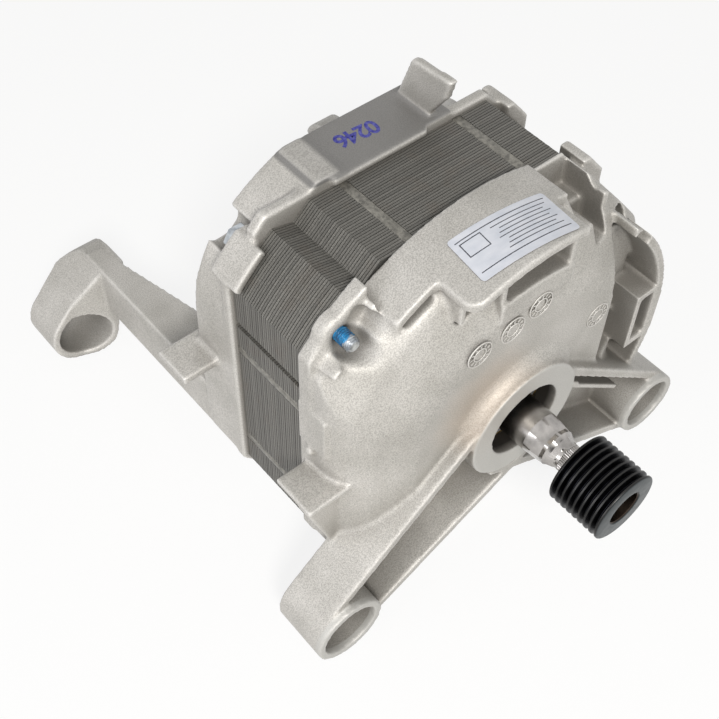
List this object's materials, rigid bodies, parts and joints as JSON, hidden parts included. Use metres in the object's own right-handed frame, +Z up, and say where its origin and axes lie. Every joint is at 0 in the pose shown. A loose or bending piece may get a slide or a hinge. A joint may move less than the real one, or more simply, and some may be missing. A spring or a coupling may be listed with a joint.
{
  "type": "washing machine motor",
  "caption": "Drum drive motor with two cast end shields on a laminated stator, a shaft in ball bearings, a ribbed belt pulley and four mounting bosses.",
  "frame": {"origin": "on the shaft's axis, in the middle of the pulley's belt run", "axes": "-Y along the shaft towards the pulley's free end, +Z up with the mounting bosses below, +X to the right when the pulley faces the viewer"},
  "size_m": [0.173, 0.2248, 0.1601],
  "materials": {
    "cast_shield": "sand-grained die casting, matt, warm light grey",
    "lamination_steel": "dark grey stamped sheets, edges showing",
    "cleat_steel": "plain steel strips",
    "winding_enamel": "enamelled copper wire dipped in varnish",
    "white_plastic": "moulded white plastic",
    "cage_aluminium": "cast bars and end rings",
    "shaft_steel": "ground steel with a knurled neck",
    "pulley_black": "blackened steel, worn satin in the grooves",
    "bearing_steel": "ground bearing steel",
    "cage_brass": "pressed ball cage",
    "bolt_zinc": "zinc plated",
    "magnet_dark": "plastic-bonded ring magnet",
    "black_plastic": "moulded black plastic",
    "pin_brass": "flat contact blades",
    "label_film": "bare pale lilac-grey label film"
  },
  "bodies": {
    "housing": {"front_shield": "cast_shield", "rear_shield": "cast_shield", "stator_core": "lamination_steel", "cleat_strips": "cleat_steel", "stator_winding": "winding_enamel", "thermal_protector": "white_plastic", "front_bearing_outer": "bearing_steel", "rear_bearing_outer": "bearing_steel", "wave_washer": "bearing_steel", "clamp_bolts": "bolt_zinc", "bolt_nuts": "bolt_zinc", "tacho_coil": "white_plastic", "tacho_cap": "black_plastic", "terminal_housing": "white_plastic", "terminal_pins": "pin_brass", "rating_label": "label_film"},
    "rotor": {"rotor_core": "lamination_steel", "rotor_cage": "cage_aluminium", "shaft": "shaft_steel", "pulley": "pulley_black", "front_bearing_inner": "bearing_steel", "rear_bearing_inner": "bearing_steel", "tacho_magnet": "magnet_dark"},
    "front_ball_set": {"front_bearing_balls": "bearing_steel", "front_bearing_cage": "cage_brass"},
    "rear_ball_set": {"rear_bearing_balls": "bearing_steel", "rear_bearing_cage": "cage_brass"}
  },
  "joints": [
    {"name": "rotor_spin", "type": "hinge", "parent": "housing", "child": "rotor", "pos_m": [0, 0, 0], "axis": [0, 1, 0], "continuous": true},
    {"name": "front_balls_spin", "type": "hinge", "parent": "housing", "child": "front_ball_set", "pos_m": [0, 0.0463, 0], "axis": [0, 1, 0], "continuous": true},
    {"name": "rear_balls_spin", "type": "hinge", "parent": "housing", "child": "rear_ball_set", "pos_m": [0, 0.1223, 0], "axis": [0, 1, 0], "continuous": true}
  ],
  "couplings": [
    {"joint": "front_balls_spin", "follows": "rotor_spin", "ratio": 0.384},
    {"joint": "rear_balls_spin", "follows": "rotor_spin", "ratio": 0.384}
  ]
}
